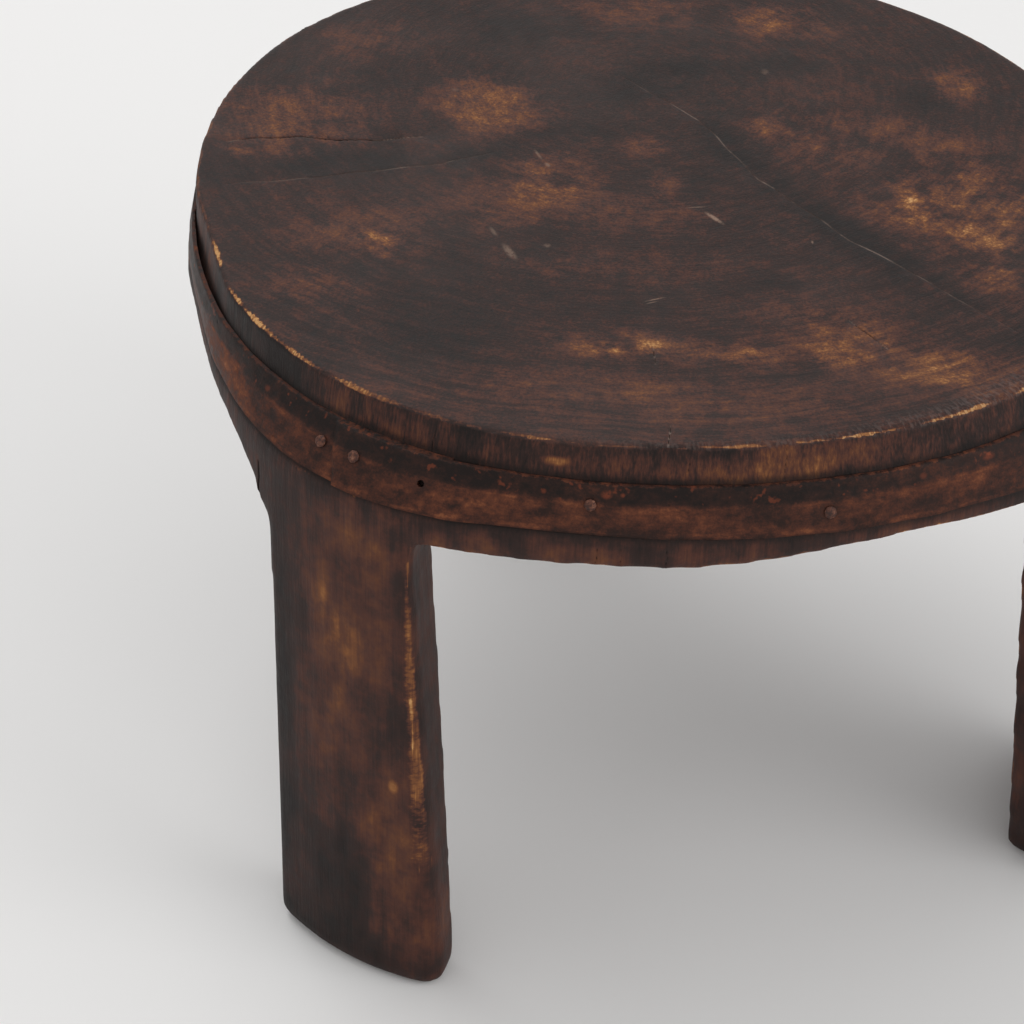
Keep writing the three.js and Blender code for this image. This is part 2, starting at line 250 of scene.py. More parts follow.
# %% Finer quads along the checks
first_reach = 2.4 * millimetre
second_reach = 1.4 * millimetre
shape = bmesh.new()
shape.from_mesh(wood.data)
for reach in (first_reach, second_reach):
    close = check_depths(np.array([vert.co for vert in shape.verts]), reach) > 0
    chosen = [edge for edge in shape.edges if all(close[vert.index] for vert in edge.verts)]
    bmesh.ops.subdivide_edges(shape, edges=chosen, cuts=1, use_grid_fill=True)
    shape.verts.index_update()
bmesh.ops.triangulate(shape, faces=[face for face in shape.faces if len(face.verts) > 4])
shape.to_mesh(wood.data)
shape.free()
told(wood)

# %% [markdown]
# ## Where hands and knees rub
# Some of the wear is broad and soft: down a leg that faces the sitter, along an arris, round a stretch of
# the rim. It could be painted by hand, but here each place is an oval on the log's side, given by its
# bearing from the log's axis in degrees, its height and its half sizes in millimetres, and a strength.
# They are added up at each point of the mesh, which is cheaper for the finish than doing it there. A patch
# with a negative strength is one where the stain lies thick, but the dark patch at bearing 216 and height
# 240, high on the seat's left side, is painted shade.

# %% Where the side is rubbed
side_level = 0.4
side_patches = [
    (232.2, 172, 7, 9, 0.18), (234.3, 162, 7, 9, 0.22), (236.2, 151, 7, 10, 0.22),
    (233.3, 129, 11, 16, 0.2), (237.8, 173, 16, 34, 0.18), (240, 206, 22, 14, 0.16),
    (241.3, 64, 12, 28, 0.24), (243.5, 30, 14, 12, 0.22), (237, 110, 20, 50, 0.06),
    (247, 150, 5, 60, -0.1), (226.5, 100, 7, 90, -0.2), (236.2, 44, 12, 24, -0.16),
    (228.3, 46, 14, 24, -0.14), (235, 8, 30, 10, -0.14), (250, 207, 12, 7, 0.32),
    # Painted shade: the dark patch at bearing 216 and height 240, where the seat's side turns away to the
    # left.
    (280, 237, 34, 4, 0.2), (216, 240, 34, 10, -0.2), (262, 209, 14, 5, 0.2),
    (277, 209, 16, 5, 0.16), (269, 240, 22, 4, 0.16), (286, 241, 30, 5, 0.2),
    (236, 236, 22, 5, 0.12), (300, 209, 20, 6, 0.14), (100, 130, 16, 40, 0.24),
    (118, 60, 14, 34, 0.2), (90, 60, 12, 60, -0.16), (330, 140, 14, 40, 0.22),
    (346, 60, 14, 34, 0.2), (352, 90, 8, 80, -0.16), (20, 222, 30, 16, 0.14),
    (160, 225, 30, 14, 0.16),
]
# The corners of the right leg and the back leg, rubbed along their whole length.
corner_level = 0.3
corner_patches = [(344, 90, 14, 100, 0.5), (98, 90, 16, 100, 0.5)]
# The stretches of the rim that shine most.
rim_level = 0.4
rim_patches = [
    (208, 247, 42, 20, 0.55), (228, 247, 20, 20, 0.3), (257, 247, 8, 20, 0.2),
    (278, 247, 20, 20, 0.2), (300, 247, 45, 20, 0.45), (40, 247, 60, 20, 0.25),
    (120, 247, 40, 20, 0.25),
]
# The front left leg's arris, where the stain is rubbed to gold. Each row is a height, the arris's bearing,
# half the width of the rubbed band and its strength.
rubbed_arris = np.array([
    (45, 245.4, 3, 0), (62, 245.3, 3.6, 0.5), (86, 245.3, 3.8, 0.8), (110, 245.1, 3.8, 1),
    (132, 244.5, 3.2, 1), (152, 244, 2.4, 0.9), (172, 243.7, 1.5, 0.85), (188, 243.5, 1.3, 0.7),
    (196, 243.4, 1.2, 0)])
print(len(side_patches + corner_patches + rim_patches), "rubbed and dark patches on the side")

# %% [markdown]
# ## How rubbed a point is
# An oval with a hard edge would look like a sticker, so each one fades out between two shares of its half
# size. The distance to its middle is measured round the log and not straight through it, so that an oval
# keeps its shape on the bend. The arris's band is a line of changing width that is found the same way.

# %% How rubbed a point is
# A middling radius of the log in millimetres, which turns a bearing into a length round it.
side_reach = 175
oval_full = 0.4
oval_gone = 1.5


def eased(value, low, high):
    """0 below low, 1 above high, and a smooth rise between them."""
    t = np.clip((value - low) / (high - low), 0, 1)
    return t * t * (3 - 2 * t)


def rubbed(rows, patches):
    """How much each point is rubbed by soft ovals on the log's side."""
    about = rows - np.array(log_axis)
    bearing = np.arctan2(about[:, 1], about[:, 0])
    total = np.zeros(len(rows))
    for facing, height, half_length, half_height, strength in patches:
        off = np.angle(np.exp(1j * (bearing - math.radians(facing)))) * side_reach
        far = np.hypot(off / half_length, (rows[:, 2] / millimetre - height) / half_height)
        total += strength * (1 - eased(far, oval_full, oval_gone))
    return total


def arris_band(rows, outward):
    """How much each point lies in the rubbed band of the arris. Outward is 1 on the leg's outer face."""
    heights, bearings, halves, shares = rubbed_arris.T
    height = rows[:, 2] / millimetre
    about = rows - np.array(log_axis)
    bearing = np.arctan2(about[:, 1], about[:, 0]) - np.radians(np.interp(height, heights, bearings))
    off = np.abs(np.angle(np.exp(1j * bearing))) * side_reach
    band = 1 - eased(off / np.interp(height, heights, halves), oval_full, oval_gone)
    return band * np.interp(height, heights, shares) * eased(outward, 0.2, 0.6)


# %% [markdown]
# ## Where the wood stands proud
# Hands, feet and the floor wear away what stands out. A corner can be found by the angle between its
# faces, but after the remesh every face meets the next one gently. So each point is held against its own
# smoothed neighbourhood: a few rounds of smoothing find the sharp rim, and many rounds find the broad
# corners of the legs. Numpy reads all points at once, which is quick enough for over 200,000 of them.

# %% Where the wood stands proud


def points(mesh):
    """The mesh's points, one row each."""
    flat = np.empty(len(mesh.vertices) * 3)
    mesh.vertices.foreach_get("co", flat)
    return flat.reshape(-1, 3)


def normals(mesh):
    """The direction that the mesh faces at each point, one row each."""
    flat = np.empty(len(mesh.vertices) * 3)
    mesh.vertices.foreach_get("normal", flat)
    return flat.reshape(-1, 3)


def relaxed(mesh, rows, rounds):
    """The points after some rounds of moving each one halfway to the mean of its neighbours."""
    ends = np.empty(len(mesh.edges) * 2, dtype=int)
    mesh.edges.foreach_get("vertices", ends)
    first, second = ends.reshape(-1, 2).T
    count = len(rows)
    share = np.bincount(first, minlength=count) + np.bincount(second, minlength=count)
    for _ in range(rounds):
        total = np.stack([
            np.bincount(first, rows[second, axis], count) + np.bincount(second, rows[first, axis], count)
            for axis in range(3)], axis=1)
        rows = (rows + total / share[:, None]) / 2
    return rows


few_rounds = 8
many_rounds = 30
legs_below = 0.212
seat_above = 0.22
rows = points(wood.data)
facing = normals(wood.data)
few_times_smoothed = relaxed(wood.data, rows, few_rounds)
much_smoothed = relaxed(wood.data, rows, many_rounds)
proud = ((rows - few_times_smoothed) * facing).sum(axis=1) / millimetre
broad_proud = ((rows - much_smoothed) * facing).sum(axis=1) / millimetre
below_seat = eased(-rows[:, 2], -seat_above, -legs_below)
rim = eased(proud, 0.12, 0.45)
arris = eased(broad_proud, 0.3, 1.1) * below_seat
on_top = eased(facing[:, 2], 0.6, 0.9)
under = eased(-facing[:, 2], 0.3, 0.8)
on_side = (1 - on_top) * (1 - under)
print("the sharpest point stands", round(proud.max(), 2), "mm proud")

# %% [markdown]
# ## Rounding the arrises
# A Bevel modifier would give every corner the same even round. Real wear comes and goes, so along the rim
# each point moves towards its smoothed place by a share that a noise varies, and small nicks go deeper.
# The legs' corners are rounded most, and all along, because shoes and the floor have worked on them
# longest.

# %% Rounding the arrises


def soft_noise(rows, size, octaves=3, seed=0):
    """Soft random heights between about -1 and 1, with bumps of the given size along X, Y and Z."""
    shift = Vector((seed * 7.31, seed * 3.17, seed * 5.77))
    scaled = rows / np.array(size)
    return np.array([noise.fractal(Vector(row) + shift, 1.0, 2.0, octaves) for row in scaled])


nick_share = 0.1
leg_share = 0.6
uneven = soft_noise(rows, (0.03, 0.03, 0.03), 2, seed=1)
nicks = eased(soft_noise(rows, (0.007, 0.007, 0.007), 2, seed=4), 0.25, 0.6)
rim_share = np.clip(0.5 + 0.5 * uneven, 0, 1) * rim
rounding = np.maximum(rim_share, eased(proud, 0.04, 0.16) * below_seat)
leg_rounding = leg_share * eased(broad_proud, 0.08, 0.4) * below_seat
rows += (few_times_smoothed - rows) * rounding[:, None]
rows += (much_smoothed - rows) * (nick_share * nicks * np.maximum(rim, arris))[:, None]
rows += (much_smoothed - rows) * leg_rounding[:, None]
print(int((rounding > 0.5).sum()), "points are moved more than halfway to their smoothed place")

# %% [markdown]
# ## Adze marks and raised fibres
# The adze took the side off in long upright facets, and the soft wood between the fibres has since worn
# down. Each blow could be modelled as a shallow cut, but there are hundreds. Stretched noise gives the same
# long hollows at once. The heights below are in millimetres: least on the top, most on the underside.

# %% Adze marks and raised fibres
# Heights are counted in seat radii, so that one noise fits both a height and a turn round the log.
seat_radius = 0.17
top_marks = 0.1
underside_marks = 0.5
seat_facets = 0.28
leg_facets = 0.14
raised_fibres = 0.05
about = rows - np.array(log_axis)
radius = np.linalg.norm(about[:, :2], axis=1)
turned = np.stack([about[:, 0] / radius, about[:, 1] / radius, about[:, 2] / seat_radius], axis=1)
adze = soft_noise(rows, (0.03, 0.03, 0.045), 2, seed=2)
hewn = soft_noise(turned, (0.11, 0.11, 0.9), 2, seed=5)
fibre = soft_noise(rows, (0.0045, 0.0045, 0.09), 2, seed=3)
facets = seat_facets - (seat_facets - leg_facets) * below_seat
carving = facets * hewn + raised_fibres * fibre
lift = top_marks * adze * on_top + underside_marks * adze * under + carving * on_side
rows += facing * (lift * millimetre * (1 - 0.5 * rim))[:, None]
print("the marks are up to", round(np.abs(lift).max(), 2), "mm high or deep")

# %% [markdown]
# ## Cutting the checks
# On the top a point goes straight down, and on the side it goes in towards the log's axis, because that is
# the way a drying crack opens. No point may leave the solid's height, so that the stool stands level.

# %% Cutting the checks


def set_points(mesh, rows):
    """Moves the mesh's points to the rows."""
    mesh.vertices.foreach_set("co", rows.ravel())
    mesh.update()


depths = check_depths(rows)
inward = np.where(on_top[:, None] > 0.5, (0, 0, -1), -turned * (1, 1, 0))
rows += inward * (depths * millimetre)[:, None]
rows[:, 2] = np.clip(rows[:, 2], wood_low.z, wood_high.z)
set_points(wood.data, rows)
print("the checks are up to", round(depths.max(), 1), "mm deep")

# %% [markdown]
# ## Masks for the finish
# The finish has to know where the wood is rubbed or cracked, and by now the script knows. A mask keeps that
# as one number for each point of the mesh, which a material reads by its name. A material can find edges
# by itself, with the Geometry node's Pointiness, but what that finds changes with the size of the faces.

# %% Masks for the finish


def keep_mask(mesh, name, values):
    """Stores one number for each point, which a material can read by this name."""
    layer = mesh.attributes.new(name, "FLOAT", "POINT")
    layer.data.foreach_set("value", np.clip(values, 0, 1).astype(np.float32))


band = arris_band(rows, (facing * turned)[:, :2].sum(axis=1))
keep_mask(wood.data, "rim", rim)
keep_mask(wood.data, "arris", np.maximum(arris * (corner_level + rubbed(rows, corner_patches)), band))
keep_mask(wood.data, "check", eased(depths, 0.05, 0.3))
keep_mask(wood.data, "deep", eased(depths, 0.4, 0.6))
keep_mask(wood.data, "side", side_level + rubbed(rows, side_patches))
keep_mask(wood.data, "rim_share", rim_level + rubbed(rows, rim_patches))
print(sum(layer.data_type == "FLOAT" for layer in wood.data.attributes), "masks on the wood")

# %% [markdown]
# ## Fewer points where the wood is flat
# Small quads are needed only where the wood curves. A coarser remesh would lose the checks, so a Decimate
# modifier collapses edges instead, and it starts where that changes the shape least. The finished piece
# then takes the place of the solid that it was copied from.

# %% Fewer points where the wood is flat
wood_triangles = 195_000
thin = wood.modifiers.new("thin", "DECIMATE")
thin.ratio = min(1, wood_triangles / triangles(wood))
apply_modifiers(wood)
wood.data.shade_smooth()
told(wood)
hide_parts("carved_body")
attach(wood, "root")

# %% [markdown]
# ## The iron strip
# The strip was cut from sheet, creased along its length and beaten round the seat with a hammer, so it is
# nowhere quite flat. A curve with a bevel would give an even band. Cutting the solid's long faces finer
# gives room for shallow dents instead. The noise that makes them pushes the iron almost only outwards,
# because the wood behind it doesn't give way.

# %% The iron strip
flat_angle = math.radians(0.5)
longest = 2.4 * millimetre
hoop = merged_copy("iron_hoop", "nailed_hoop")
shape = bmesh.new()
shape.from_mesh(hoop.data)
bmesh.ops.dissolve_limit(shape, angle_limit=flat_angle, verts=shape.verts, edges=shape.edges)
bmesh.ops.triangulate(shape, faces=shape.faces)
for _ in range(5):
    long_edges = [edge for edge in shape.edges if edge.calc_length() > longest]
    bmesh.ops.subdivide_edges(shape, edges=long_edges, cuts=1)
    bmesh.ops.triangulate(shape, faces=shape.faces)
shape.to_mesh(hoop.data)
shape.free()

# %% [markdown]
# ## Dents in the strip
# Two kinds of noise move the points: one in dents as large as a hammer's face, and one that lets the
# edges wander a little up and down along the strip. With a mean lift of about the dents' own depth, hardly
# a point moves in towards the wood. Only the strip's creases and edges are then shaded sharp.

# %% Dents in the strip
mean_lift = 0.16
dent_height = 0.2
edge_sway = 0.35
crease_angle = math.radians(35)
rows = points(hoop.data)
dents = soft_noise(rows, (0.011, 0.011, 0.008), 3, seed=6)
ripple = soft_noise(rows, (0.02, 0.02, 0.5), 2, seed=7)
outward = (rows - np.array(log_axis)) * (1, 1, 0)
outward /= np.linalg.norm(outward, axis=1)[:, None]
rows += outward * ((mean_lift + dent_height * dents) * millimetre)[:, None]
middle = (hoop_low.z + hoop_high.z) / 2
rows[:, 2] += edge_sway * millimetre * ripple * np.sign(rows[:, 2] - middle)
set_points(hoop.data, rows)
hoop.data.shade_smooth()
hoop.data.set_sharp_from_angle(angle=crease_angle)
told(hoop)
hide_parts("iron_hoop")
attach(hoop, "root")

# %% [markdown]
# ## The nails
# Each nail was forged and then struck home, so no two heads are alike. One nail could be modelled and
# copied thirteen times, which would show at once. A finer copy of each solid, pushed a little out of shape
# by noise that differs from place to place, keeps the facets and loses the sameness.

# %% The nails
blow_height = 0.13
facet_angle = math.radians(40)
nails = []
for name in sorted(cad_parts):
    if not name.startswith("nail"):
        continue
    nail = merged_copy(name, "forged_" + name)
    shape = bmesh.new()
    shape.from_mesh(nail.data)
    bmesh.ops.subdivide_edges(shape, edges=shape.edges, cuts=2, use_grid_fill=True)
    shape.to_mesh(nail.data)
    shape.free()
    rows = points(nail.data)
    blows = soft_noise(rows, (0.0016, 0.0016, 0.0016), 2, seed=8)
    rows += normals(nail.data) * (blow_height * millimetre * blows)[:, None]
    set_points(nail.data, rows)
    nail.data.shade_smooth()
    nail.data.set_sharp_from_angle(angle=facet_angle)
    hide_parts(name)
    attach(nail, "root")
    nails.append(nail)
print(len(nails), "nails")

# %% [markdown]
# ## Shader helpers
# Nodes can be placed and wired one by one, but a long material is easier to read as sums. A Wire is one
# socket's value, and Python's own operators add the Math nodes that work on it. A Finish is one material.
# Its method node adds a node of any kind, with its settings and what goes into its sockets, and the methods
# after it are short names for what is used often. Places are measured in millimetres from the log's axis,
# so that a patch can be drawn where it was measured.

# %% Helpers for materials


class Wire:
    """One socket's value inside a material, which Python's operators can do sums with."""

    def __init__(self, finish, socket):
        self.finish = finish
        self.socket = socket

    def maths(self, operation, first, second):
        return self.finish.node("ShaderNodeMath", {"operation": operation}, {0: first, 1: second})

    def __add__(self, other):
        return self.maths("ADD", self, other)

    def __radd__(self, other):
        return self.maths("ADD", other, self)

    def __sub__(self, other):
        return self.maths("SUBTRACT", self, other)

    def __rsub__(self, other):
        return self.maths("SUBTRACT", other, self)

    def __mul__(self, other):
        return self.maths("MULTIPLY", self, other)

    def __rmul__(self, other):
        return self.maths("MULTIPLY", other, self)

    def __truediv__(self, other):
        return self.maths("DIVIDE", self, other)

    def __pow__(self, other):
        return self.maths("POWER", self, other)

    def swing(self, strength):
        """A noise's rise and fall about its middle, this strong."""
        return (self - 0.5) * strength

    def clamped(self):
        """The value, kept between 0 and 1."""
        return self.finish.node("ShaderNodeClamp", {}, {"Value": self})


class Finish:
    """A material in the making."""

    def __init__(self, name):
        self.material = bpy.data.materials.new(name)
        self.material.use_nodes = True
        self.tree = self.material.node_tree
        self.shader = self.tree.nodes["Principled BSDF"]
        self.place = self.node("ShaderNodeTexCoord", {}, {}, "Object")
        self.log = self.node("ShaderNodeMapping", {"vector_type": "TEXTURE"}, {
            "Vector": self.place, "Location": log_axis, "Scale": [millimetre] * 3})
        self.x, self.y, self.z = self.parts(self.log)

    def put(self, socket, value):
        if isinstance(value, Wire):
            self.tree.links.new(value.socket, socket)
        else:
            socket.default_value = value

    def node(self, kind, settings, sockets, output=0):
        """Adds a node and returns the wire of one of its outputs."""
        made = self.tree.nodes.new(kind)
        for name, value in settings.items():
            if name == "stops":
                ramp = made.color_ramp.elements
                while len(ramp) < len(value):
                    ramp.new(0.5)
                for stop, (position, tint) in zip(ramp, value):
                    stop.position = position
                    stop.color = tint
            else:
                setattr(made, name, value)
        for name, value in sockets.items():
            self.put(made.inputs[name], value)
        return Wire(self, made.outputs[output])

    def parts(self, vector):
        """The three numbers of a place."""
        split = self.node("ShaderNodeSeparateXYZ", {}, {"Vector": vector}).socket.node
        return [Wire(self, socket) for socket in split.outputs]

    def join(self, x, y, z):
        """A place from three numbers."""
        return self.node("ShaderNodeCombineXYZ", {}, {"X": x, "Y": y, "Z": z})

    def round_log(self):
        """The length round the log from its front, as the function of this name gives it."""
        angle = self.node("ShaderNodeMath", {"operation": "ARCTAN2"}, {0: self.x, 1: self.y * -1})
        return angle * side_reach

    def mask(self, name):
        """A number that the mesh stores for each of its points."""
        return self.node("ShaderNodeAttribute", {"attribute_name": name}, {}, "Fac")

    def eased(self, value, low, high, start=0.0, end=1.0):
        """The start below low, the end above high, and a smooth change between them."""
        return self.node("ShaderNodeMapRange", {"interpolation_type": "SMOOTHSTEP"}, {
            "Value": value, "From Min": low, "From Max": high, "To Min": start, "To Max": end})

    def noise(self, place, size=1.0, detail=4.0, roughness=0.55):
        """Soft random values from about 0.2 to 0.8, in bumps of the given size."""
        return self.node("ShaderNodeTexNoise", {}, {
            "Vector": place, "Scale": 1 / size, "Detail": detail, "Roughness": roughness}, "Fac")

    def grain(self, place, sizes, detail=4.0, roughness=0.55):
        """Soft random values in bumps that are stretched to the given sizes along X, Y and Z."""
        squeezed = self.node("ShaderNodeMapping", {"vector_type": "TEXTURE"},
                             {"Vector": place, "Scale": sizes})
        return self.noise(squeezed, 1.0, detail, roughness)

    def patches(self, place, rows):
        """Soft ovals added up. Each row is a middle, two half sizes, a turn in degrees and a strength. The
        place's third number is a noise that eats into them, so that no oval shows."""
        total = 0
        for x, y, half_x, half_y, angle, strength in rows:
            inside = self.node("ShaderNodeMapping", {"vector_type": "TEXTURE"}, {
                "Vector": place, "Location": (x, y, 0), "Rotation": (0, 0, math.radians(angle)),
                "Scale": (half_x, half_y, 1)})
            far = self.node("ShaderNodeVectorMath", {"operation": "LENGTH"}, {0: inside}, "Value")
            total = total + self.eased(far, oval_full, oval_gone, strength, 0)
        return total

    def blend(self, share, first, second):
        """A number between two numbers."""
        return first + (second - first) * share

    def mix(self, share, first, second):
        """A colour between two colours."""
        sockets = {"Factor": share, 6: first, 7: second}
        return self.node("ShaderNodeMix", {"data_type": "RGBA"}, sockets, 2)

    def ramp(self, value, stops):
        """The colour of a value on a scale of colours."""
        return self.node("ShaderNodeValToRGB", {"stops": stops}, {"Fac": value})

    def bump(self, height):
        """The normal of a surface whose small relief is given in millimetres."""
        return self.node("ShaderNodeBump", {}, {"Height": height, "Distance": millimetre}, "Normal")

    def set(self, **sockets):
        """Puts values or wires into the shader's own sockets, whose spaces are written as underscores."""
        for name, value in sockets.items():
            self.put(self.shader.inputs[name.replace("_", " ")], value)
        return self.material


def colour(red, green, blue):
    """A colour as a painter's chart gives it, 0 to 255, turned into the light that it reflects."""
    parts = [channel / 255 for channel in (red, green, blue)]
    return [p / 12.92 if p < 0.04045 else ((p + 0.055) / 1.055) ** 2.4 for p in parts] + [1]


# %% [markdown]
# ## Where the stain has worn
# The stool was stained nearly black and then used. Where it is rubbed, the stain gives way in steps: first
# to red brown, then to orange and gold, and on the sharpest arrises to bare wood. The top has such patches
# where people sat and set things down. Noise alone would put them anywhere, so each one is drawn as an
# oval: its middle and half sizes in millimetres from the stool's middle, its turn and its strength.

# %% Where the stain has worn
pith = (-17.0 - log_axis.x / millimetre, 66.7 - log_axis.y / millimetre)

# Rubbed patches on the top.
top_patches = [
    (-141, 36, 32, 28, 0, 0.24), (-70, 47, 22, 24, 0, 0.32), (-161, 9, 6, 5, 0, 0.3),
    (-46, -1, 19, 19, 0, 0.34), (-64, -22, 26, 22, 0, 0.18), (-113, -42, 28, 19, 0, 0.2),
    (-106, -50, 10, 11, 0, 0.26), (-127, -76, 23, 15, 0, 0.15), (-13, 22, 11, 8, 0, 0.18),
    (-5, -4, 8, 9, 0, 0.2), (-13, -25, 26, 14, 0, 0.14), (-24, -59, 44, 14, 0, 0.12),
    (37, -32, 10, 11, 0, 0.16), (-25, -108, 18, 9, 0, 0.32),
    (-1, -111, 30, 9, 0, 0.24), (31, -110, 18, 9, 0, 0.22), (53, -100, 18, 17, 0, 0.26),
    (37, -82, 20, 12, 0, 0.12), (-15, -138, 68, 14, 0, 0.16), (71, -117, 28, 16, 0, 0.2),
    (97, -118, 20, 14, 0, 0.16), (78, -13, 15, 18, 0, 0.3), (106, -12, 28, 40, 0, 0.35),
    (110, -53, 18, 24, 0, 0.2), (64, 33, 40, 22, 0, 0.2), (35, 42, 9, 12, 0, 0.18),
    (108, 77, 11, 16, 0, 0.28), (45, 122, 20, 14, 0, 0.34), (-11, 128, 44, 16, 0, 0.14),
    (-119, 97, 24, 16, 0, 0.14), (-40, 22, 14, 9, 0, 0.1),
]
# The stain lies thickest along the checks and round the pith, so these take wear away.
top_shade = [
    (22, 16, 30, 10, -64, 0.17), (64, -40, 42, 10, -50, 0.19), (112, -90, 30, 8, -46, 0.16),
    (-118, 4, 54, 8, 8, 0.17), (-56, 22, 34, 9, 22, 0.14), (-12, 70, 26, 20, 0, 0.14),
    (-56, 108, 26, 16, 0, 0.16),
    (34, 86, 40, 10, 10, 0.12), (-104, -108, 36, 18, -30, 0.12), (-49, -45, 18, 15, 0, 0.09),
    (27, -68, 20, 11, 0, 0.12), (92, 62, 14, 15, 0, 0.1),
]
# Pale scratches and scuffs on the top.
top_scratches = [
    (-66, -40, 0.8, 3, 24, 0.3), (-60, -53, 1.4, 5, 24, 0.42), (-51, 14, 0.6, 3.5, 22, 0.36),
    (-47.5, 7, 0.9, 1.6, 20, 0.4), (12, -26, 0.9, 4.4, 38, 0.75), (6, -19, 3.4, 0.4, 10, 0.4),
    (-10, -80, 3.4, 0.35, 24, 0.55), (-11, -82, 2, 0.3, 24, 0.4), (-47, -48, 1.2, 1.2, 0, 0.3),
    (46, -40, 0.4, 1.0, 0, 0.55), (35, 82, 1.4, 2, 0, 0.22), (-83, 60, 1.4, 1.2, 0, 0.2),
]


def round_log(bearing):
    """The length round the log from its front, at -Y, to a bearing. Its two ends meet at the back."""
    return math.radians((bearing - 90) % 360 - 180) * side_reach


# Two pale chips on the side, as a length round the log and a height.
side_chips = [(round_log(257.9), 239.8, 4.4, 1.5, 0, 0.42), (round_log(242.2), 96, 1.6, 3, 0, 0.36)]
print(len(top_patches), "rubbed patches and", len(top_shade), "dark ones on the top")

# %% [markdown]
# ## Places on the wood
# A pattern that follows the wood needs the wood's own directions. The side is unrolled round the log, so
# that a length and a height name a spot on it. The top is measured from the pith, because the rings run
# round the pith and not round the stool's middle. Plain noise would be quicker to write, but its grain
# would run across the rings.

# %% Places on the wood
stain = Finish("old_stain")
top_x = stain.x + log_axis.x / millimetre
top_y = stain.y + log_axis.y / millimetre
from_axis = (stain.x * stain.x + stain.y * stain.y) ** 0.5
along_side = stain.round_log()
normal_z = stain.parts(stain.node("ShaderNodeTexCoord", {}, {}, "Normal"))[2]
is_top = stain.eased(normal_z, 0.45, 0.8)

from_pith_x = stain.x - pith[0]
from_pith_y = stain.y - pith[1]
from_pith = (from_pith_x * from_pith_x + from_pith_y * from_pith_y) ** 0.5
ray_x = from_pith_x / from_pith
ray_y = from_pith_y / from_pith
waver = stain.noise(stain.log, size=40, detail=2)
ring_sway = 9


def ring_noise(count, width, detail):
    """Streaks along the rings. The count sets how many there are round the pith, the width how wide."""
    across = (from_pith + waver * ring_sway) / width
    return stain.noise(stain.join(ray_x * count, ray_y * count, across), 1, detail, 0.6)


streaks = ring_noise(7, 2.6, 4)
fine_rings = ring_noise(16, 0.9, 3)
print(len(stain.tree.nodes), "nodes for the places on the wood")

# %% [markdown]
# ## Wear on the top
# The finish is one number, the wear, and later one scale of colours reads it. Adding up what wears a place
# is simpler than layering a colour for each cause, and the steps from black to gold come out right by
# themselves. On the top it is a low level, the rubbed patches, streaks along the rings, and mottles and
# specks that break them up. The front edge is rubbed a little more than the rest.

# %% Wear on the top
top_level = 0.175
broad = stain.noise(stain.log, 38, 5, 0.62)
mottle = stain.noise(stain.log, 5, 5, 0.65)
speckle = stain.noise(stain.log, 0.9, 3, 0.6)
ragged = (stain.noise(stain.log, 17, 6, 0.62) - 0.36) * 4.5
spot = stain.join(top_x, top_y, ragged)
patches = stain.patches(spot, top_patches)
shade = stain.patches(spot, top_shade)
front = stain.eased(from_axis, 112, 158) * stain.eased(stain.y * -1, 40, 120)
streaked = 0.4 + front * 0.3 + patches * 0.9
top_wear = (top_level + broad.swing(0.4) + patches * (0.8 + mottle * 0.6) - shade
            + streaks.swing(streaked) + front * 0.06 + mottle.swing(0.5 + patches * 0.8)
            + speckle.swing(0.55 + patches))
print(len(stain.tree.nodes), "nodes with the wear on the top")

# %% [markdown]
# ## Wear on the side
# On the side the grain stands upright, so the noise is stretched along Z: hair-fine fibres in broader
# bands. Round the seat the fibres show most. The mesh's mask adds the rubbed patches, which a blotchy
# noise breaks up, and two pale chips are drawn as ovals. The normal then says which of the two wears a
# place takes.

# %% Wear on the side
side_base = 0.215
fibres = stain.grain(stain.log, (0.9, 0.9, 22), 5, 0.6)
bands = stain.grain(stain.log, (6, 6, 34), 4, 0.55)
clouds = stain.noise(stain.log, 16, 5, 0.6)
on_seat = stain.eased(stain.z, 214, 226, 0.25, 1) * stain.eased(stain.z, 196, 206)
blotches = stain.eased(stain.grain(stain.log, (9, 9, 16), 5), 0.36, 0.64, 1.15, 0.55)
side_rubbed = ((stain.mask("side") - side_level) * blotches
               + stain.patches(stain.join(along_side, stain.z, 0), side_chips))
side_wear = (side_base + broad.swing(0.5) + clouds.swing(0.35) + side_rubbed * (0.85 + mottle * 0.3)
             + fibres.swing(0.22 + on_seat * 0.6) + bands.swing(0.35 + on_seat * 0.4)
             + mottle.swing(0.4))
wear = stain.blend(is_top, side_wear, top_wear)
print(len(stain.tree.nodes), "nodes with the wear on the side")

# %% [markdown]
# ## Rubbed arrises
# The rim is rubbed in a thin broken line, and a leg's corner in a broad one with dark ticks across it. Both
# come from the masks that the mesh keeps. A noise moves the level at which a mask shows, so the line breaks
# up instead of fading, and near the floor it stops.

# %% Rubbed arrises
rim_radius = 170
rim_strength = 0.85
ticks = stain.grain(stain.log, (3, 3, 1.3), 4, 0.6)
nicked = stain.noise(stain.log, 11, 5, 0.6)
ridge_place = stain.join(stain.x / from_axis * rim_radius, stain.y / from_axis * rim_radius,
                         from_axis / 2.5)
ridges = stain.noise(ridge_place, 1, 3)
ridged = stain.eased(ridges, 0.46, 0.6)
rim_line = (stain.eased(stain.mask("rim") + nicked.swing(1.5), 0.78, 1.05) * stain.mask("rim_share")
            * (0.75 + ridged * 0.5))
corner = stain.eased(stain.mask("arris") + ticks.swing(1.3) + mottle.swing(0.9), 0.45, 1.05)
above_floor = stain.eased(stain.z, 4, 30)
worn = (wear + rim_line * above_floor * rim_strength + corner * (0.12 + fibres * 0.5)).clamped()
print(len(stain.tree.nodes), "nodes with the rubbed arrises")
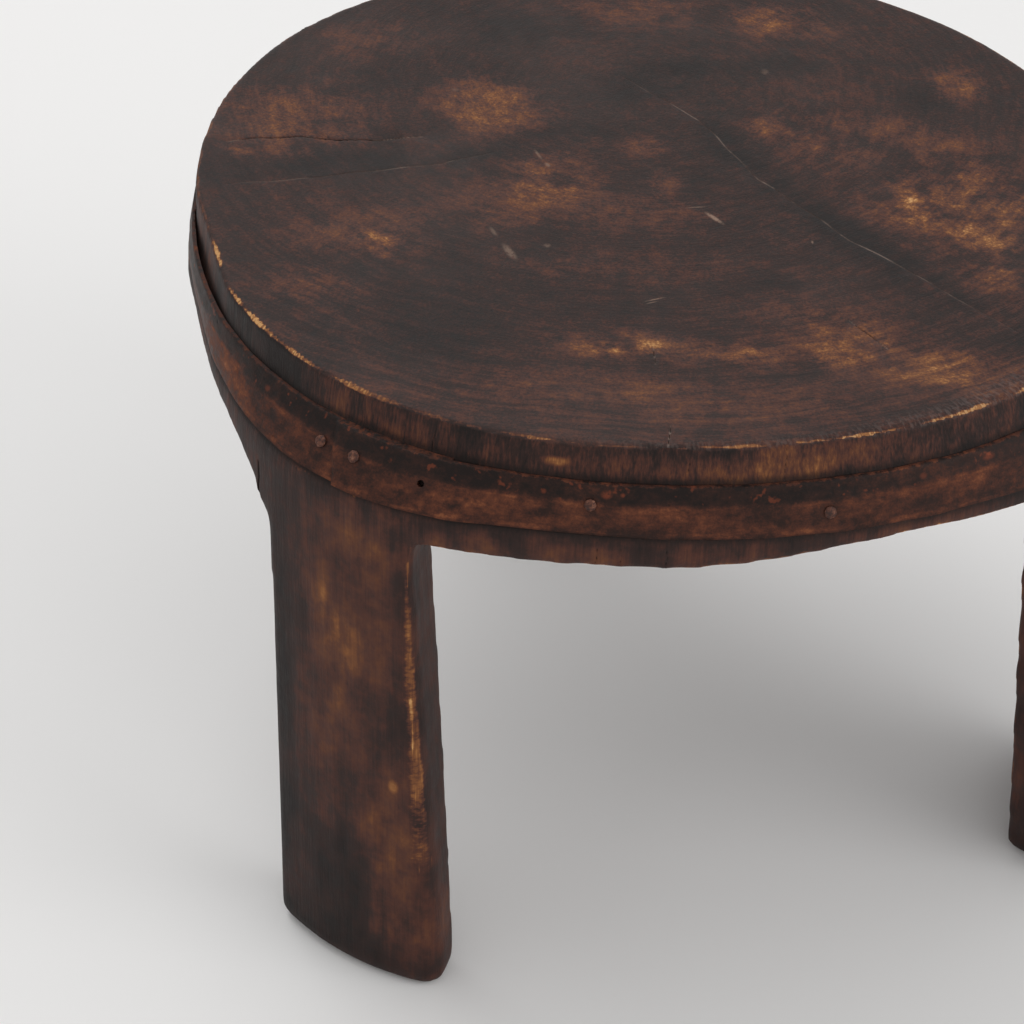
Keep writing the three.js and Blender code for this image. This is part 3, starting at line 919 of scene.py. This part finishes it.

# %% [markdown]
# ## The scale of colours
# Seven colours, from the thick stain to bare wood, turn the wear into what the eye sees. Two thin layers
# lie over them: a painted sheen in broad pale clouds on the top, which stands in for the window's reflection,
# and the pale scratches and scuffs.

# %% The scale of colours
tone = stain.ramp(worn, [
    (0.0, colour(26, 18, 16)), (0.2, colour(48, 30, 26)), (0.36, colour(75, 43, 34)),
    (0.52, colour(96, 57, 37)), (0.68, colour(124, 78, 46)), (0.84, colour(156, 106, 62)),
    (1.0, colour(196, 148, 96))])
# Painted sheen: pale grey brown laid over the top in broad clouds, standing in for the window's reflection.
painted_sheen = stain.eased(stain.noise(stain.log, 60, 3), 0.45, 0.7) * is_top * 0.1
tone = stain.mix(painted_sheen, tone, colour(84, 72, 68))
scuff_spot = stain.join(top_x, top_y, (speckle - 0.4) * 4)
scuffs = stain.patches(scuff_spot, top_scratches).clamped() * is_top
tone = stain.mix(scuffs, tone, colour(152, 124, 106))
print(len(stain.tree.nodes), "nodes with the colours")

# %% [markdown]
# ## Painted shade, dust and tool marks with a painted highlight
# Painted shade darkens the wood in the corners above and below the strip, and painted shade makes the checks
# near black, except where dust lies in the shallow ones on the top. At the front of the rim, fine tool marks
# across the edge get a pale painted highlight where they catch the light. Each is one colour laid over the
# rest by its own share, so that one can be changed without touching the others.

# %% Painted shade, dust and tool marks with a painted highlight
strip_half = (hoop_high.z - hoop_low.z) / 2 / millimetre
strip_middle = (hoop_high.z + hoop_low.z) / 2 / millimetre
past_strip = ((stain.z - strip_middle) ** 2) ** 0.5 - strip_half
# Painted shade: the wood is darkened in a band just above and below the strip, where its edges shade it.
painted_shade = stain.eased(past_strip, 0.4, 3, 0.7, 0) * stain.eased(from_axis, 155, 160) * (1 - is_top)
tone = stain.mix(painted_shade, tone, colour(22, 16, 14))

check = stain.mask("check")
dust = (1 - stain.mask("deep")) * is_top
# Painted shade: the checks are painted near black wherever no dust lies in them, for the shade inside the
# cracks.
tone = stain.mix(check * (1 - dust), tone, colour(16, 12, 11))
dusty = stain.eased(stain.noise(stain.log, 13, 4), 0.4, 0.62, 0.12, 0.75)
tone = stain.mix(check * dust * dusty, tone, colour(138, 120, 110))

# Painted highlight: a pale grey tint on the tool marks at the front of the rim, for the light the worn edge
# reflects.
near_rim = (stain.eased(from_axis, 161, rim_radius) * stain.eased(stain.y * -1, 60, 120)
            * stain.eased(stain.x, -50, 20))
tone = stain.mix(near_rim * is_top * ridged * 0.22, tone, colour(124, 108, 102))
print(len(stain.tree.nodes), "nodes with the dirt and dust")

# %% [markdown]
# ## Relief and gloss
# What is too fine for the mesh goes into a bump, in millimetres: rings and pores on the top, fibres on the
# side, and the tool marks at the front. The stain has a low sheen, and worn wood and checks are duller.

# %% Relief and gloss
top_relief = fine_rings * 0.14 + speckle * 0.13 + mottle * 0.12 + ridges * near_rim * 0.3
side_relief = fibres * (0.14 + on_seat * 0.1) + bands * 0.4 + speckle * 0.1
relief = stain.blend(is_top, side_relief, top_relief)
rough = 0.6 - is_top * 0.08 + mottle.swing(0.3) + stain.eased(worn, 0.4, 0.9) * 0.16 + check * 0.3
stained = stain.set(Base_Color=tone, Roughness=rough, Normal=stain.bump(relief), Specular_IOR_Level=0.22)
wood.data.materials.clear()
wood.data.materials.append(stained)
print(len(stained.node_tree.nodes), "nodes in the whole stain")

# %% [markdown]
# ## Rust on the strip
# The strip lies in the stain as the wood does, and it has rusted under it: nearly black along the upper
# part that leans back, red brown and orange in blotches below the crease, and lighter along its edges and
# crease, partly where they are rubbed and partly as painted highlights. It is made as the stain is, one
# number read on one scale of colours, so that the strip and the wood look as old as each other. Small spots
# of orange rust lie over it.

# %% Where the strip has rusted
rust_patches = [
    (round_log(214), 224, 22, 7, 0, 0.3), (round_log(247), 222, 14, 5, 0, 0.2),
    (round_log(256), 225, 26, 4.5, 0, 0.22), (round_log(270), 226, 16, 4, 0, 0.12),
    (round_log(300), 229, 30, 6, 0, 0.28), (round_log(234), 221, 5, 7, 0, 0.3),
    (round_log(20), 224, 60, 6, 0, 0.25), (round_log(120), 224, 60, 6, 0, 0.25),
]
spots = [
    (round_log(263.6), 231.4, 1.6, 1.2, 0, 0.7), (round_log(265.3), 231.6, 0.7, 0.6, 0, 0.6),
    (round_log(257), 230.6, 0.8, 0.7, 0, 0.5), (round_log(306), 231.5, 2, 1, 0, 0.6),
    (round_log(298), 231, 1.2, 0.9, 0, 0.4), (round_log(222), 230.5, 1.5, 0.9, 0, 0.4),
    (round_log(60), 231, 2, 1, 0, 0.5), (round_log(140), 231, 2, 1, 0, 0.5),
]
print(len(rust_patches), "blotches and", len(spots), "spots of rust on the strip")

# %% Rust on the strip
# The crease lies this far below the strip's upper edge, in millimetres.
crease_drop = 6


def rust():
    """The strip's rust."""
    iron = Finish("rusted_iron")
    along = iron.round_log()
    broad = iron.grain(iron.log, (14, 14, 5), 5, 0.65)
    mottle = iron.noise(iron.log, 2.6, 5, 0.7)
    speckle = iron.noise(iron.log, 0.7, 3, 0.6)
    top_edge = hoop_high.z / millimetre
    low_edge = hoop_low.z / millimetre
    crease = top_edge - crease_drop
    below_crease = 1 - iron.eased(iron.z + broad.swing(3), crease - 1, crease + 1)
    ragged = (iron.noise(iron.log, 8, 5, 0.62) - 0.36) * 4
    blotches = iron.patches(iron.join(along, iron.z, ragged), rust_patches)
    rusty = 0.11 + below_crease * 0.25 + broad.swing(1.1) + mottle.swing(0.8) + blotches
    # The upper edge is lighter: partly rubbed, partly a painted highlight.
    edge = iron.eased(iron.z + mottle.swing(3), top_edge - 0.5, top_edge) * 0.3
    # The crease and the lower edge stand out, so they are rubbed, and their lighter lines are also painted
    # highlights.
    from_crease = ((iron.z - crease + broad.swing(2)) ** 2) ** 0.5
    from_low_edge = ((iron.z - low_edge - 1.2) ** 2) ** 0.5
    rubbed_and_highlit_lines = (iron.eased(from_crease, 0.3, 1.1, 0.16, 0) + iron.eased(from_low_edge, 0.3, 1, 0.14, 0)) * (
        iron.eased(broad, 0.4, 0.6))
    worn = (rusty + edge + rubbed_and_highlit_lines + speckle.swing(0.3)).clamped()
    tone = iron.ramp(worn, [
        (0.0, colour(30, 22, 20)), (0.25, colour(48, 30, 25)), (0.45, colour(72, 41, 31)),
        (0.65, colour(98, 56, 39)), (0.85, colour(128, 77, 50)), (1.0, colour(156, 106, 74))])
    scattered = iron.eased(iron.noise(iron.log, 3.4, 2, 0.5), 0.63, 0.72) * (1 - below_crease) * 0.5
    red = (iron.patches(iron.join(along, iron.z, (mottle - 0.45) * 5), spots) + scattered).clamped()
    tone = iron.mix(red, tone, colour(122, 60, 38))
    relief = mottle * 0.16 + speckle * 0.07 + broad * 0.3
    rough = 0.5 + mottle.swing(0.3) + iron.eased(worn, 0.3, 0.7) * 0.18
    return iron.set(Base_Color=tone, Roughness=rough, Normal=iron.bump(relief), Specular_IOR_Level=0.15)


rusted = rust()
hoop.data.materials.clear()
hoop.data.materials.append(rusted)
print(len(rusted.node_tree.nodes), "nodes in the rust")

# %% [markdown]
# ## The nails' iron
# The nails are a lighter brown than the strip, because hands and knees have polished their heads. All
# thirteen share one material. Its noise is read at each nail's own place, so no two look alike, and none
# needs a colour of its own.

# %% The nails' iron


def nail_rust():
    """The rubbed rust of the nails' heads."""
    iron = Finish("struck_iron")
    mottle = iron.noise(iron.log, 1.3, 4, 0.65)
    broad = iron.noise(iron.log, 30, 2)
    worn = iron.eased(mottle + broad.swing(0.4), 0.3, 0.75)
    tone = iron.ramp(worn, [
        (0.0, colour(48, 31, 27)), (0.4, colour(78, 46, 36)), (0.75, colour(106, 66, 50)),
        (1.0, colour(136, 96, 76))])
    return iron.set(Base_Color=tone, Roughness=0.48 + mottle * 0.2, Normal=iron.bump(mottle * 0.22),
                    Specular_IOR_Level=0.3)


struck = nail_rust()
for nail in nails:
    nail.data.materials.clear()
    nail.data.materials.append(struck)
print(len(struck.node_tree.nodes), "nodes in the nails' iron")

# %% [markdown]
# ## The floor
# A plain pale floor shows the stool's shadow and nothing else. It is made so wide that its far edge lies
# beyond the picture, which saves a wall behind it.

# %% The floor
floor_size = 30
floor_mesh = bpy.data.meshes.new("floor")
shape = bmesh.new()
bmesh.ops.create_grid(shape, x_segments=1, y_segments=1, size=floor_size / 2)
shape.to_mesh(floor_mesh)
shape.free()
floor = bpy.data.objects.new("floor", floor_mesh)
bpy.context.scene.collection.objects.link(floor)
pale = Finish("pale_floor")
floor.data.materials.append(pale.set(Base_Color=colour(242, 241, 240), Roughness=0.9))

# %% [markdown]
# ## The light
# The light is soft: a large window on the left, a little behind the stool, and a bright room round it. A
# small lamp would throw a hard shadow, so each lamp is a wide disk, and the world fills in the rest. Their
# levels are set so that the pale floor comes out just under white where nothing shades it.

# %% The light


def lamp(name, place, size, power):
    """A round soft lamp that faces the stool. Its size is in metres and its power in watts."""
    target = Vector((0, 0, seat_height / 2))
    light = bpy.data.lights.new(name, "AREA")
    light.shape = "DISK"
    light.size = size
    light.energy = power
    lit = bpy.data.objects.new(name, light)
    lit.location = place
    lit.rotation_euler = (target - Vector(place)).to_track_quat("-Z", "Y").to_euler()
    bpy.context.scene.collection.objects.link(lit)
    print(name, "gives", power, "W")


room_level = 0.69
lamp("window", (-0.8, 0.9, 2.2), size=1.6, power=14.5)
lamp("room", (1.7, -0.9, 1.3), size=1.4, power=10)
world = bpy.data.worlds.new("room light")
world.use_nodes = True
surroundings = world.node_tree.nodes["Background"]
surroundings.inputs["Color"].default_value = (1, 1, 1, 1)
surroundings.inputs["Strength"].default_value = room_level
bpy.context.scene.world = world
bpy.context.scene.view_settings.view_transform = "Standard"
